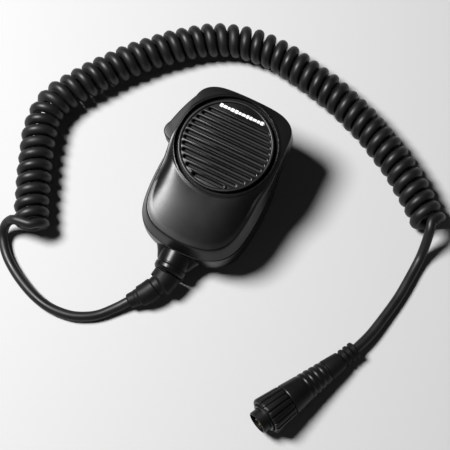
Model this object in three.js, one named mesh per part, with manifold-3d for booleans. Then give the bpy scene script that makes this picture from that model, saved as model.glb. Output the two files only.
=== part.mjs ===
// Hand microphone with a push-to-talk lever, a curly cord and a round screw-on plug.
// Units are millimetres and +Z is up. The microphone lies on its back with its top towards +Y.
// In the microphone's own frame the grille is centred on X = 0, Y = 0 and the back is at Z = 0.
import * as THREE from 'three';
import { mergeVertices } from 'three/addons/utils/BufferGeometryUtils.js';
import Module from 'manifold-3d';

const wasm = await Module();
wasm.setup();

// ---- driving dimensions -------------------------------------------------------------------
const gap = 0.3; // clearance between touching pieces
const wall = 2.0; // thickness of the moulded shells

const bodyDepth = 34; // back to face
const bodyHalfWidth = 29.9;
const bodyCentreX = 0.8; // the grille sits this far off the body's middle
const bodyTop = 29;
const bodyBottom = -57.6;
const bodyMiddle = (bodyTop + bodyBottom) / 2;
const bodyHalfLength = (bodyTop - bodyBottom) / 2;
const seamHeight = 21; // where the front and rear shells meet

const grilleRadius = 24.1;
const grilleWellRadius = 25.9; // round recess in the face that the grille sits in
const grilleSeatHeight = bodyDepth - 2.4;
const grilleHoleRadius = 22.4;
const slotCount = 12;
const slotPitch = 3.08;
const slotWidth = 1.3;
const firstSlotY = 13.9;
const slotFieldRadius = 21.7;

const pivot = new THREE.Vector2(-23.4, 20.4); // push-to-talk hinge, parallel to Z
const leverLow = 14.7;
const leverHigh = 25.3;
const leverInnerX = -25;
const pinRadius = 1;
const pinLow = 9.6;
const pinHigh = 29;
const windowOuterX = -40; // beyond the side of the body
const windowInnerX = -20.4;
const windowBottomY = -10.4;
const windowTopY = 24.4;
const windowMargin = 0.6; // above and below the lever

const shellScrews = [[-16.6, 19.6], [16.6, 19.6], [-18, -43], [18, -43]];
const boardScrews = [[-11, 10], [11, 10], [11, -30]];
const clampScrews = [[-6, -44.5], [6, -44.5]];
const shellScrewSize = {
  headRadius: 2.6, headLow: 3.3, headHigh: 5.3, shankRadius: 1.25, shankEnd: 26,
};
const boardScrewSize = {
  headRadius: 2.2, headLow: 17.3, headHigh: 18.7, shankRadius: 0.9, shankEnd: 7,
};
const clampScrewSize = {
  headRadius: 2, headLow: 14.9, headHigh: 16.2, shankRadius: 0.8, shankEnd: 5,
};
const studScrewSize = {
  headRadius: 2.8, headLow: 3.7, headHigh: 5.7, shankRadius: 1.2, shankEnd: -4,
};

const boardLow = 15.4;
const boardHigh = 17;
const boardHalfWidth = 15;
const boardBottomY = -34;
const boardTopY = 14;

const studY = 6; // hanging stud on the back
const studHeight = 5.5;
const studCapRadius = 6;
const studCapThickness = 2.2;
const studNeckRadius = 3.8;
const neckEndY = -67.5;
const neckHeight = 11;
const neckLength = 12.6;
const neckBoreRadius = 4.5;

const cordRadius = 2.55;
const curlRadius = 9.3; // outside radius of the coiled part
const micTilt = Math.atan(studHeight / 51.2); // it rests on the stud and its lower back edge
const micX = 2;
const micY = 32.9;
const tableLift = 0.1; // keeps the cord just clear of the table

const bootLength = 24.5;
const plugHeading = THREE.MathUtils.degToRad(-115.4);
const plugTilt = THREE.MathUtils.degToRad(5.4); // the plug is a cone lying on its side
const plugX = 103;
const plugY = -26.45;
const plugZ = 4.5;
const pinCount = 8;

// ---- materials ----------------------------------------------------------------------------
const material = (color, roughness, metalness) =>
  new THREE.MeshStandardMaterial({ color, roughness, metalness });

const shellPlastic = material(0x1b1b1c, 0.55, 0);
const leverRubber = material(0x151516, 0.7, 0);
const grillePlastic = material(0x18181a, 0.45, 0);
const grilleMesh = material(0x070707, 0.95, 0);
const badgeMetal = material(0xc8cbce, 0.3, 1);
const cordJacket = material(0x0f0f10, 0.5, 0);
const bootRubber = material(0x121213, 0.65, 0);
const plugPlastic = material(0x131314, 0.4, 0);
const steel = material(0xa9adb2, 0.35, 1);
const brass = material(0xc9a24a, 0.3, 1);
const boardLaminate = material(0x1f5a38, 0.5, 0);
const partPlastic = material(0x26272b, 0.5, 0);
const naturalNylon = material(0xe6e2d6, 0.5, 0);

// ---- helpers ------------------------------------------------------------------------------
/** Turns a closed three.js geometry into a manifold solid. */
function toSolid(geometry) {
  const bare = geometry.clone();
  bare.deleteAttribute('normal');
  bare.deleteAttribute('uv');
  const merged = mergeVertices(bare, 1e-4);
  const mesh = new wasm.Mesh({
    numProp: 3,
    vertProperties: new Float32Array(merged.attributes.position.array),
    triVerts: new Uint32Array(merged.index.array),
  });
  return new wasm.Manifold(mesh);
}

/** Turns a manifold solid back into a three.js geometry. */
function toGeometry(solid) {
  const mesh = solid.getMesh();
  const geometry = new THREE.BufferGeometry();
  geometry.setAttribute('position', new THREE.BufferAttribute(mesh.vertProperties, 3));
  geometry.setIndex(new THREE.BufferAttribute(mesh.triVerts, 1));
  geometry.computeVertexNormals();
  return geometry;
}

const addAll = (solids) => solids.reduce((sum, solid) => sum.add(solid));

/** An upright cylinder between two heights, centred on (x, y). */
function post(radius, low, high, x = 0, y = 0, segments = 20) {
  const geometry = new THREE.CylinderGeometry(radius, radius, high - low, segments);
  geometry.rotateX(Math.PI / 2);
  geometry.translate(x, y, (low + high) / 2);
  return geometry;
}

/** A cylinder along X between two places, centred on (y, z). */
function crossPost(radius, fromX, toX, y, z, segments = 16) {
  const geometry = new THREE.CylinderGeometry(radius, radius, toX - fromX, segments);
  geometry.rotateZ(Math.PI / 2);
  geometry.translate((fromX + toX) / 2, y, z);
  return geometry;
}

/** A cylinder along Y between two places, centred on (x, z). */
function longPost(radius, fromY, toY, x, z, segments = 20) {
  const geometry = new THREE.CylinderGeometry(radius, radius, toY - fromY, segments);
  geometry.translate(x, (fromY + toY) / 2, z);
  return geometry;
}

function block(fromX, toX, fromY, toY, low, high) {
  const geometry = new THREE.BoxGeometry(toX - fromX, toY - fromY, high - low);
  geometry.translate((fromX + toX) / 2, (fromY + toY) / 2, (low + high) / 2);
  return geometry;
}

/** A solid of revolution about Z from [radius, height] pairs. */
function turned(profile, segments = 32) {
  const points = profile.map(([radius, height]) => new THREE.Vector2(radius, height));
  const geometry = new THREE.LatheGeometry(points, segments);
  geometry.rotateX(Math.PI / 2);
  return geometry;
}

function disc(radius, low, high, segments = 48) {
  return post(radius, low, high, 0, 0, segments);
}

/** A regular polygon outline that stands for a circle. */
function roundShape(radius, sides) {
  const shape = new THREE.Shape();
  for (let i = 0; i < sides; i++) {
    const angle = (2 * Math.PI * i) / sides;
    const x = radius * Math.cos(angle);
    const y = radius * Math.sin(angle);
    if (i === 0) shape.moveTo(x, y);
    else shape.lineTo(x, y);
  }
  shape.closePath();
  return shape;
}

function tube(curve, radius, sides, steps) {
  return new THREE.ExtrudeGeometry(roundShape(radius, sides), { extrudePath: curve, steps });
}

/** The stretch of a curve between two arc lengths, as a curve of its own. */
function stretch(curve, from, to, points = 12) {
  const total = curve.getLength();
  const places = [];
  for (let i = 0; i <= points; i++) {
    places.push(curve.getPointAt((from + ((to - from) * i) / points) / total));
  }
  return new THREE.CatmullRomCurve3(places, false, 'centripetal');
}

const smooth = (low, high, value) => THREE.MathUtils.smoothstep(value, low, high);

function piece(name, geometry, itsMaterial) {
  const mesh = new THREE.Mesh(geometry, itsMaterial);
  mesh.name = name;
  return mesh;
}

// ---- body form ----------------------------------------------------------------------------
/** Right half of the widest outline, from top to bottom: two handles and an end per curve. */
const bodyEdge = [
  [9, bodyTop, 15, 28.6, 18.5, 27.6],
  [23.7, 26, 26.9, 23.3, 27.6, 18],
  [28.2, 12, 28.8, 4, 29.3, -6],
  [bodyHalfWidth, -18, bodyHalfWidth + 0.2, -28, 28.6, -38],
  [27.5, -46, 24.5, -51.5, 18, -54.5],
  [13, -56.8, 6, bodyBottom, 0, bodyBottom],
];

/** The body's widest outline, seen from the front: the right half and its mirror image. */
function bodyOutline() {
  const shape = new THREE.Shape();
  shape.moveTo(0, bodyTop);
  for (const curve of bodyEdge) shape.bezierCurveTo(...curve);
  for (let i = bodyEdge.length - 1; i >= 0; i--) {
    const [firstX, firstY, secondX, secondY] = bodyEdge[i];
    const [endX, endY] = i === 0 ? [0, bodyTop] : bodyEdge[i - 1].slice(4);
    shape.bezierCurveTo(-secondX, secondY, -firstX, firstY, -endX, endY);
  }
  return shape;
}

/** How far a rounded edge has drawn in, for a place 0 to 1 along its depth. */
const roundOver = (place, run, sharpness) =>
  run * (1 - Math.pow(1 - Math.pow(place, sharpness), 1 / sharpness));

/** Front shell: steep and sharp-edged round the grille, more drawn in and softer below it. */
function frontInset(height, y) {
  const place = THREE.MathUtils.clamp((height - seamHeight) / (bodyDepth - seamHeight), 0, 1);
  const grilleShare = smooth(-22, -4, y);
  const lower = 0.9 + 1.3 * place + roundOver(place, 3.2, 4);
  const upper = 0.5 + 0.4 * place + roundOver(place, 1.4, 6);
  return THREE.MathUtils.lerp(lower, upper, grilleShare);
}

/** Rear shell: full in the palm, tapering towards the back behind the grille. */
function rearInset(height, y) {
  const place = THREE.MathUtils.clamp(1 - height / seamHeight, 0, 1);
  const grilleShare = smooth(-10, 8, y);
  const lip = 0.6 * Math.pow(1 - place, 3);
  const lower = lip + roundOver(place, 7, 4);
  const upper = lip + 2.4 * place + roundOver(place, 8, 2.2);
  return THREE.MathUtils.lerp(lower, upper, grilleShare);
}

/** A solid that follows the body outline, drawn in by inset(height, y) at each height. */
function bodyForm(low, high, levels, inset) {
  const geometry = new THREE.ExtrudeGeometry(bodyOutline(), {
    depth: 1,
    steps: levels.length - 1,
    bevelEnabled: false,
    curveSegments: 4,
  });
  const position = geometry.attributes.position;
  for (let i = 0; i < position.count; i++) {
    const level = levels[Math.round(position.getZ(i) * (levels.length - 1))];
    const height = low + (high - low) * level;
    const x = position.getX(i);
    const y = position.getY(i);
    const drawn = inset(height, y);
    const scaledX = bodyCentreX + x * (1 - drawn / bodyHalfWidth);
    const scaledY = bodyMiddle + (y - bodyMiddle) * (1 - drawn / bodyHalfLength);
    position.setXYZ(i, scaledX, scaledY, height);
  }
  return toSolid(geometry);
}

const frontLevels = [0, 0.35, 0.65, 0.82, 0.92, 0.975, 1];
const rearLevels = [0, 0.03, 0.1, 0.22, 0.4, 0.6, 0.8, 1];
const seamHalfGap = gap / 2;

const frontOuter = () =>
  bodyForm(seamHeight + seamHalfGap, bodyDepth, frontLevels, frontInset);
const rearOuter = () => bodyForm(0, seamHeight - seamHalfGap, rearLevels, rearInset);

/** The push-to-talk window, shared by both shells. */
const leverWindow = () =>
  toSolid(block(windowOuterX, windowInnerX, windowBottomY, windowTopY,
    leverLow - windowMargin, leverHigh + windowMargin));

// ---- shells -------------------------------------------------------------------------------
const shellPilotRadius = 1.6;
const shellScrewWellRadius = 3;
const pinBossRadius = 2.4;

function frontShell() {
  const roof = bodyDepth - wall;
  const hollow = bodyForm(seamHeight - 1, roof, frontLevels, (height, y) =>
    frontInset(height + wall, y) + wall);
  const bossLow = seamHeight - 0.6;
  const bosses = shellScrews.map(([x, y]) => toSolid(post(3.4, bossLow + 1, roof + 1, x, y)));
  const seat = toSolid(disc(grilleWellRadius + 1.2, grilleSeatHeight - 1.8, roof + 1));
  const pinBoss = toSolid(post(pinBossRadius, leverHigh + 0.9, roof + 1, pivot.x, pivot.y));
  const fittings = addAll([...bosses, seat, pinBoss]).intersect(frontOuter());
  const cuts = [
    toSolid(disc(grilleWellRadius, grilleSeatHeight, bodyDepth + 1, 64)),
    toSolid(disc(grilleHoleRadius, seamHeight, bodyDepth + 1, 64)),
    leverWindow(),
    toSolid(post(pinRadius + gap, leverHigh, pinHigh + 0.6, pivot.x, pivot.y)),
    ...shellScrews.map(([x, y]) => toSolid(
      post(shellPilotRadius, seamHeight - 1, shellScrewSize.shankEnd + 1, x, y))),
  ];
  return toGeometry(frontOuter().subtract(hollow).add(fittings).subtract(addAll(cuts)));
}

/** The cord's exit: a round neck that flares into the bottom of the rear shell. */
function neck() {
  const barrel = turned([[0, 0], [9, 0], [8.8, 4], [8.2, 9], [7.9, neckLength - 0.6],
    [7.4, neckLength], [0, neckLength]]);
  barrel.rotateX(Math.PI / 2);
  barrel.translate(0, neckEndY + neckLength, neckHeight);
  const flare = turned([[0, 0], [14, 0], [11.6, 3], [9.8, 6], [8.6, 9], [0, 9]]);
  flare.scale(1, 0.6, 1);
  flare.rotateX(Math.PI / 2);
  flare.translate(0, -54, neckHeight);
  return toSolid(barrel).add(toSolid(flare));
}

const clampHalfWidth = 8;
const clampBottomY = -47.5;
const clampTopY = -41.5;
const clampLow = 8;
const clampHigh = 14.6;

function rearShell() {
  const hollow = bodyForm(wall, seamHeight + 1, rearLevels, (height, y) =>
    rearInset(height - wall, y) + wall);
  const bossHigh = seamHeight - 0.9;
  const bosses = [
    ...shellScrews.map(([x, y]) => toSolid(post(4, 1, bossHigh, x, y))),
    ...boardScrews.map(([x, y]) => toSolid(post(2.6, 1, boardLow - gap, x, y))),
    ...clampScrews.map(([x, y]) => toSolid(post(2, 1, clampLow - gap, x, y))),
    toSolid(post(pinBossRadius, 1, leverLow - 0.9, pivot.x, pivot.y)),
    toSolid(post(5, 1, studScrewSize.headLow - gap, 0, studY)),
  ];
  const fittings = addAll(bosses).intersect(rearOuter());
  const groove = bodyForm(seamHeight - 1.4, seamHeight + 1, [0, 1], () => 1.2)
    .subtract(bodyForm(seamHeight - 2, seamHeight + 2, [0, 1], () => 2.1));
  const cuts = [
    groove,
    leverWindow(),
    toSolid(longPost(neckBoreRadius, neckEndY - 1, -50, 0, neckHeight)),
    toSolid(post(1.6, -1, 5, 0, studY)),
    toSolid(post(pinRadius + gap, pinLow - 0.6, leverLow, pivot.x, pivot.y)),
    ...shellScrews.map(([x, y]) => toSolid(post(shellPilotRadius, 3, seamHeight, x, y))),
    ...shellScrews.map(([x, y]) => toSolid(
      post(shellScrewWellRadius, -1, shellScrewSize.headHigh + gap, x, y))),
    ...boardScrews.map(([x, y]) => toSolid(post(1.2, 4, boardLow, x, y))),
    ...clampScrews.map(([x, y]) => toSolid(post(1.1, 4, 8, x, y))),
  ];
  const body = rearOuter().subtract(hollow).add(fittings).add(neck());
  return toGeometry(body.subtract(addAll(cuts)));
}

/** Rubber cord in the groove of the seam, broken at the push-to-talk window. */
function gasket() {
  const ring = bodyForm(seamHeight - 1.1, seamHeight - 0.2, [0, 1], () => 1.45)
    .subtract(bodyForm(seamHeight - 2, seamHeight + 1, [0, 1], () => 1.85));
  const window = toSolid(block(windowOuterX, windowInnerX + 0.4, windowBottomY - 0.6,
    windowTopY + 0.6, seamHeight - 4, seamHeight + 4));
  return toGeometry(ring.subtract(window));
}

// ---- grille -------------------------------------------------------------------------------
function slotHole(y) {
  const half = Math.sqrt(slotFieldRadius ** 2 - y ** 2) - slotWidth / 2;
  const radius = slotWidth / 2;
  const hole = new THREE.Path();
  hole.absarc(half, y, radius, -Math.PI / 2, Math.PI / 2);
  hole.absarc(-half, y, radius, Math.PI / 2, 1.5 * Math.PI);
  hole.closePath();
  return hole;
}

const grilleLow = grilleSeatHeight + gap;
const grilleThickness = 1.9;
const clothLow = grilleSeatHeight - 0.6; // lies in the hole under the grille
const clothHigh = grilleSeatHeight;

/** Round cover with a raised rim and a row of straight slots. */
function grille() {
  const shape = roundShape(grilleRadius, 64);
  for (let i = 0; i < slotCount; i++) shape.holes.push(slotHole(firstSlotY - i * slotPitch));
  const plate = new THREE.ExtrudeGeometry(shape, {
    depth: grilleThickness,
    bevelEnabled: false,
    curveSegments: 4,
  });
  plate.translate(0, 0, grilleLow);
  const rimHigh = grilleLow + grilleThickness + 0.5;
  const rim = toSolid(disc(grilleRadius, grilleLow + 1, rimHigh, 64))
    .subtract(toSolid(disc(grilleRadius - 1.3, grilleLow, rimHigh + 1, 64)));
  return toGeometry(toSolid(plate).add(rim));
}

/** Plain bright strip on the grille, above the slots. */
function badgeStrip() {
  const halfWidth = 12.4;
  const low = grilleLow + grilleThickness + gap;
  return block(-halfWidth, halfWidth, 16.9, 18.9, low, low + 0.5);
}

// ---- push-to-talk -------------------------------------------------------------------------
function lever() {
  const shape = new THREE.Shape();
  shape.moveTo(leverInnerX, -7.6);
  shape.lineTo(leverInnerX, 16.4);
  shape.lineTo(-22, 18.2);
  shape.absarc(pivot.x, pivot.y, 2.4, -1, 1.6);
  shape.lineTo(-26, 22.9);
  shape.bezierCurveTo(-28.8, 18.4, -31.6, 10, -33, 3);
  shape.bezierCurveTo(-33.2, 1, -34.6, 0, -34.4, -2.6);
  shape.bezierCurveTo(-34.2, -5, -32.6, -6.4, -29, -7.6);
  shape.closePath();
  const bevel = 0.6;
  const plate = new THREE.ExtrudeGeometry(shape, {
    depth: leverHigh - leverLow - 2 * bevel,
    curveSegments: 6,
    bevelThickness: bevel,
    bevelSize: bevel,
    bevelOffset: -bevel,
    bevelSegments: 2,
  });
  plate.translate(0, 0, leverLow + bevel);
  const bore = toSolid(post(pinRadius + gap, leverLow - 1, leverHigh + 1, pivot.x, pivot.y));
  return toGeometry(toSolid(plate).subtract(bore));
}

const switchFaceX = -20.5;
const switchBackX = -14.4;
const switchHigh = 23.2;
const plungerRadius = 1.2;
const plungerEndX = -18.6;
const plungerY = 4;
const plungerHeight = 20;
const springY = -4;

function pttSwitch() {
  const body = toSolid(block(switchFaceX, switchBackX, -7, 9, boardHigh + gap, switchHigh));
  const bore = toSolid(crossPost(plungerRadius + gap, switchFaceX - 1, switchBackX - 2,
    plungerY, plungerHeight));
  return toGeometry(body.subtract(bore));
}

/** Small compression spring between the lever and the switch. */
function leverSpring() {
  const turns = 3.5;
  const coilRadius = 1.7;
  const wire = 0.28;
  const from = leverInnerX + gap + wire;
  const to = switchFaceX - gap - wire;
  const points = [];
  const pointCount = 12 * turns;
  for (let i = 0; i <= pointCount; i++) {
    const share = i / pointCount;
    const angle = 2 * Math.PI * turns * share;
    points.push(new THREE.Vector3(
      from + (to - from) * share,
      springY + coilRadius * Math.cos(angle),
      plungerHeight + coilRadius * Math.sin(angle),
    ));
  }
  return tube(new THREE.CatmullRomCurve3(points), wire, 6, pointCount);
}

// ---- inside pieces ------------------------------------------------------------------------
const cartridgeRadius = 17;
const cartridgeBackRadius = 13.6;
const cartridgeLow = 19;
const cartridgeShoulder = 24;
const cartridgeHigh = 29.8;

/** Microphone cartridge: a wide can with a narrower back. */
function cartridge() {
  return turned([
    [0, cartridgeLow], [cartridgeBackRadius - 1, cartridgeLow],
    [cartridgeBackRadius, cartridgeLow + 1], [cartridgeBackRadius, cartridgeShoulder - 0.2],
    [cartridgeRadius, cartridgeShoulder], [cartridgeRadius, cartridgeHigh - 0.6],
    [cartridgeRadius - 0.6, cartridgeHigh], [0, cartridgeHigh],
  ], 40);
}

/** Soft ring that holds the cartridge under the grille cloth. */
function cartridgeRing() {
  const inner = cartridgeRadius + gap;
  const outer = 20.6;
  const low = cartridgeShoulder + gap;
  const high = clothLow - gap;
  const profile = [[inner, low], [outer - 1.6, low], [outer, low + 1.1], [outer, high], [inner, high]];
  return turned([...profile, profile[0]], 40);
}

function board() {
  const plate = toSolid(
    block(-boardHalfWidth, boardHalfWidth, boardBottomY, boardTopY, boardLow, boardHigh));
  const holes = boardScrews.map(([x, y]) => toSolid(post(1.4, boardLow - 1, boardHigh + 1, x, y)));
  return toGeometry(plate.subtract(addAll(holes)));
}

/** A screw along Z: its shank leaves the head on the side of shankEnd. */
function screw(x, y, { headRadius, headLow, headHigh, shankRadius, shankEnd }) {
  const [seat, top] = shankEnd > headHigh ? [headHigh, headLow] : [headLow, headHigh];
  const profile = [[0, top], [headRadius, top], [headRadius, seat], [shankRadius, seat],
    [shankRadius, shankEnd], [0, shankEnd]];
  const geometry = turned(shankEnd > top ? profile : profile.reverse(), 16);
  geometry.translate(x, y, 0);
  return geometry;
}

function cordClamp() {
  const saddle = toSolid(block(-clampHalfWidth, clampHalfWidth, clampBottomY, clampTopY,
    clampLow, clampHigh));
  const bore = toSolid(
    longPost(cordRadius + gap, clampBottomY - 1.5, clampTopY + 1.5, 0, neckHeight));
  const holes = clampScrews.map(([x, y]) => toSolid(post(1.4, 7, 16, x, y)));
  return toGeometry(saddle.subtract(bore.add(addAll(holes))));
}

/** Hanging stud: a wide cap on a narrower neck, tapped for the screw from inside. */
function stud() {
  const capHigh = studCapThickness - studHeight;
  const solid = toSolid(turned([[0, -studHeight], [studCapRadius - 0.5, -studHeight],
    [studCapRadius, -studHeight + 0.5], [studCapRadius, capHigh], [studNeckRadius, capHigh + 0.2],
    [studNeckRadius, -gap], [0, -gap]], 32));
  return toGeometry(solid.subtract(toSolid(post(1.5, -4.3, 1, 0, 0)))).translate(0, studY, 0);
}

// ---- cord ---------------------------------------------------------------------------------
const tableHeight = cordRadius + tableLift;
const curlHeight = curlRadius + tableLift;
const at = (points) => points.map(([x, y, z]) => new THREE.Vector3(x, y, z));

/** From the end of the neck, along the table, round to the lower left end of the curl. */
const micRoute = at([
  [0, -43, 8.3], [-3.2, -48.8, 6.9], [-7.3, -53.6, 5.4], [-10.2, -56.8, 4.5],
  [-13.6, -61.2, 3.3], [-19.6, -68.2, tableHeight], [-25.6, -72.6, tableHeight],
  [-33.4, -75.8, tableHeight], [-44, -76.8, tableHeight], [-54, -75, tableHeight],
  [-64, -71.4, tableHeight], [-71.6, -67.4, 3.2], [-74.8, -63.4, 5], [-74.6, -59.6, 7.2],
  [-73.8, -56, 8.9], [-75.4, -51.8, curlHeight],
]);

/** The middle of the curled part, from its microphone end over the top to its plug end. */
const curlRoute = at([
  [-70, -47.4], [-76.2, -37.9], [-82.6, -25.1], [-89.2, -11.1], [-95.2, 3.9], [-97.4, 15.4],
  [-95.4, 25.2], [-90.6, 34.5], [-84.8, 44.1], [-78.8, 53.1], [-72.6, 61.3], [-65.8, 69.3],
  [-59, 76.4], [-51.6, 83.3], [-44.2, 89.3], [-36.6, 94], [-27.6, 97.9], [-16.4, 100.3],
  [-4.4, 100.7], [6.6, 99.4], [19.6, 96.6], [32.6, 93.6], [45.6, 89.2], [58.6, 83.9],
  [71.6, 77.1], [84, 69.5], [96, 60.5], [109.7, 48.9],
].map(([x, y]) => [x, y, curlHeight]));

/** From the plug end of the curl to the back of the plug. */
const plugRoute = at([
  [110.2, 48.5, curlHeight], [112, 46.2, 8.8], [113.2, 42.4, 6.4], [113.2, 37.4, 4.2],
  [112.6, 31.4, 3], [112.1, 25, tableHeight], [111.7, 17, tableHeight],
  [110.9, 7.4, tableHeight], [108.9, -4.4, 3], [106.4, -16.4, 3.7],
]);

const through = (points) => new THREE.CatmullRomCurve3(points, false, 'centripetal');

/** Ribbed rubber sleeve that bends with the cord: each band has its own radius. */
function micBoot(curve) {
  const bands = [
    [0, 6.5, 7.2],
    [6, 9.8, 5.2],
    [9.4, 18.5, 5.9],
    [18, 20.5, 4.5],
    [20, bootLength, 4.1],
  ];
  const sleeve = bands.map(([from, to, radius]) =>
    toSolid(tube(stretch(curve, from, to, 6), radius, 16, 5)));
  return toGeometry(addAll(sleeve));
}

// ---- plug: made along Z, cord end at 0 and nose at the top ---------------------------------
const sleeveRadius = 3.6; // at the cord end
const sleeveEnd = 19; // where the rubber sleeve meets the plastic housing
const collarEnd = 44;
const ringEnd = 57.9;
const noseEnd = 63;
const insertEnd = 58.5;
const ringRadius = 9.9; // at the nose end
const gripPitch = 3.3;
const gripDepth = 0.4;
const barrelRadius = 5.9;
const barrelBore = 5;
const socketRadius = barrelRadius + gap; // the barrel sits in it
const socketFloor = 34;
const plugPinRadius = 0.5;
const plugPinCircle = 3.2;

/** The plug is one slim cone from its cord end to the front of its ring. */
const coneRadius = (along) =>
  sleeveRadius + (along * (ringRadius - sleeveRadius)) / ringEnd;

/** Rubber sleeve with three ribs at the cord end. */
function plugBoot() {
  const profile = [[0, 0.4], [3.4, 0.4]];
  for (let i = 0; i < 3; i++) {
    const start = 0.8 + i * 3;
    const ribRadius = 4.6;
    profile.push([ribRadius, start], [ribRadius, start + 1.2]);
    profile.push([ribRadius - 0.8, start + 1.5], [ribRadius - 0.8, start + 2.7]);
  }
  profile.push([coneRadius(10), 10], [coneRadius(sleeveEnd), sleeveEnd], [0, sleeveEnd]);
  return turned(profile, 32);
}

/** Cone with four grip rings, then a smooth collar; the barrel is let into its front. */
function plugShell() {
  const low = sleeveEnd + gap;
  const profile = [[0, low], [coneRadius(low) - 0.2, low]];
  for (let i = 0; i < 4; i++) {
    const start = low + 1.1 + i * gripPitch;
    profile.push([coneRadius(start) - gripDepth, start]);
    profile.push([coneRadius(start + 0.5), start + 0.5], [coneRadius(start + 1.9), start + 1.9]);
    profile.push([coneRadius(start + 2.5) - gripDepth, start + 2.5]);
  }
  profile.push([coneRadius(34.2) - 0.1, 34.2], [coneRadius(collarEnd - 0.7), collarEnd - 0.7]);
  profile.push([coneRadius(collarEnd) - 0.4, collarEnd], [socketRadius, collarEnd],
    [socketRadius, socketFloor]);
  profile.push([3, socketFloor], [3, socketFloor - 4], [0, socketFloor - 4]);
  return turned(profile, 28);
}

function plugBarrel() {
  const low = socketFloor + gap;
  return turned([[barrelBore, low], [barrelRadius, low], [barrelRadius, noseEnd - 0.5],
    [barrelRadius - 0.4, noseEnd], [barrelBore, noseEnd], [barrelBore, low]], 32);
}

/** Screw-on ring with finger flutes, free to turn on the barrel. */
function couplingRing() {
  const flutes = 18;
  const fluteDepth = 0.7;
  const backShare = coneRadius(collarEnd) / ringRadius; // how much narrower its back is
  const shape = new THREE.Shape();
  for (let i = 0; i < flutes * 4; i++) {
    const angle = (2 * Math.PI * i) / (flutes * 4);
    const radius = i % 4 < 3 ? ringRadius : ringRadius - fluteDepth;
    const x = radius * Math.cos(angle);
    const y = radius * Math.sin(angle);
    if (i === 0) shape.moveTo(x, y);
    else shape.lineTo(x, y);
  }
  shape.closePath();
  const ring = new THREE.ExtrudeGeometry(shape, {
    depth: ringEnd - collarEnd - gap,
    bevelEnabled: false,
  });
  const position = ring.attributes.position;
  for (let i = 0; i < position.count; i++) {
    const share = position.getZ(i) > 1 ? 1 : backShare;
    position.setX(i, position.getX(i) * share);
    position.setY(i, position.getY(i) * share);
  }
  ring.translate(0, 0, collarEnd + gap);
  const bore = toSolid(disc(barrelRadius + 0.4, collarEnd - 1, ringEnd + 1, 40));
  const thread = toSolid(disc(7.8, 52, ringEnd + 1, 40));
  return toGeometry(toSolid(ring).subtract(bore.add(thread)));
}

/** Thin washer that keeps the coupling ring on the barrel. */
function ringRetainer() {
  const low = ringEnd + gap;
  const high = low + 0.7;
  const inner = barrelRadius + gap;
  const outer = inner + 1;
  return turned([[inner, low], [outer, low], [outer, high], [inner, high], [inner, low]]);
}

/** Contact pins: one in the middle and the others on a circle round it. */
function plugPin(i) {
  const onCircle = pinCount - 1;
  const reach = i === onCircle ? 0 : plugPinCircle;
  const angle = (2 * Math.PI * i) / onCircle;
  const x = reach * Math.cos(angle);
  const y = reach * Math.sin(angle);
  return post(plugPinRadius, insertEnd + gap, insertEnd + 3.3, x, y, 10);
}

// ---- assembly -----------------------------------------------------------------------------
const mic = new THREE.Group();
mic.rotation.x = micTilt;
mic.add(
  piece('front_shell', frontShell(), shellPlastic),
  piece('rear_shell', rearShell(), shellPlastic),
  piece('shell_gasket', gasket(), bootRubber),
  piece('grille_disc', grille(), grillePlastic),
  piece('grille_cloth', disc(grilleHoleRadius - gap, clothLow, clothHigh), grilleMesh),
  piece('badge_strip', badgeStrip(), badgeMetal),
  piece('mic_cartridge', cartridge(), steel),
  piece('cartridge_ring', cartridgeRing(), bootRubber),
  piece('circuit_board', board(), boardLaminate),
  piece('wire_connector', block(-6, 6, -31, -26, boardHigh + gap, 23), naturalNylon),
  piece('ptt_switch', pttSwitch(), partPlastic),
  piece('switch_plunger',
    crossPost(plungerRadius, leverInnerX + gap, plungerEndX, plungerY, plungerHeight), brass),
  piece('ptt_lever', lever(), leverRubber),
  piece('ptt_pivot_pin', post(pinRadius, pinLow, pinHigh, pivot.x, pivot.y), steel),
  piece('ptt_spring', leverSpring(), steel),
  piece('cord_clamp', cordClamp(), naturalNylon),
  piece('cord_tail', longPost(cordRadius, neckEndY + gap, -38, 0, neckHeight), cordJacket),
  piece('hanger_stud', stud(), steel),
  piece('stud_screw', screw(0, studY, studScrewSize), steel),
);
shellScrews.forEach(([x, y], i) => {
  mic.add(piece(`shell_screw_${i + 1}`, screw(x, y, shellScrewSize), steel));
});
boardScrews.forEach(([x, y], i) => {
  mic.add(piece(`board_screw_${i + 1}`, screw(x, y, boardScrewSize), steel));
});
clampScrews.forEach(([x, y], i) => {
  mic.add(piece(`clamp_screw_${i + 1}`, screw(x, y, clampScrewSize), steel));
});
const resting = new THREE.Box3().setFromObject(mic, true);
mic.position.set(micX, micY, -resting.min.z);
mic.updateMatrixWorld(true);

const plug = new THREE.Group();
plug.position.set(plugX, plugY, plugZ);
const plugDirection = new THREE.Vector3(
  Math.cos(plugHeading) * Math.cos(plugTilt),
  Math.sin(plugHeading) * Math.cos(plugTilt),
  Math.sin(plugTilt),
);
plug.quaternion.setFromUnitVectors(new THREE.Vector3(0, 0, 1), plugDirection);
plug.add(
  piece('plug_boot', plugBoot(), bootRubber),
  piece('plug_shell', plugShell(), plugPlastic),
  piece('plug_coupling_ring', couplingRing(), plugPlastic),
  piece('plug_barrel', plugBarrel(), plugPlastic),
  piece('plug_insert', disc(barrelBore - gap, 46, insertEnd, 32), partPlastic),
  piece('plug_ring_retainer', ringRetainer(), steel),
);
for (let i = 0; i < pinCount; i++) plug.add(piece(`plug_pin_${i + 1}`, plugPin(i), brass));
plug.updateMatrixWorld(true);

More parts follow.
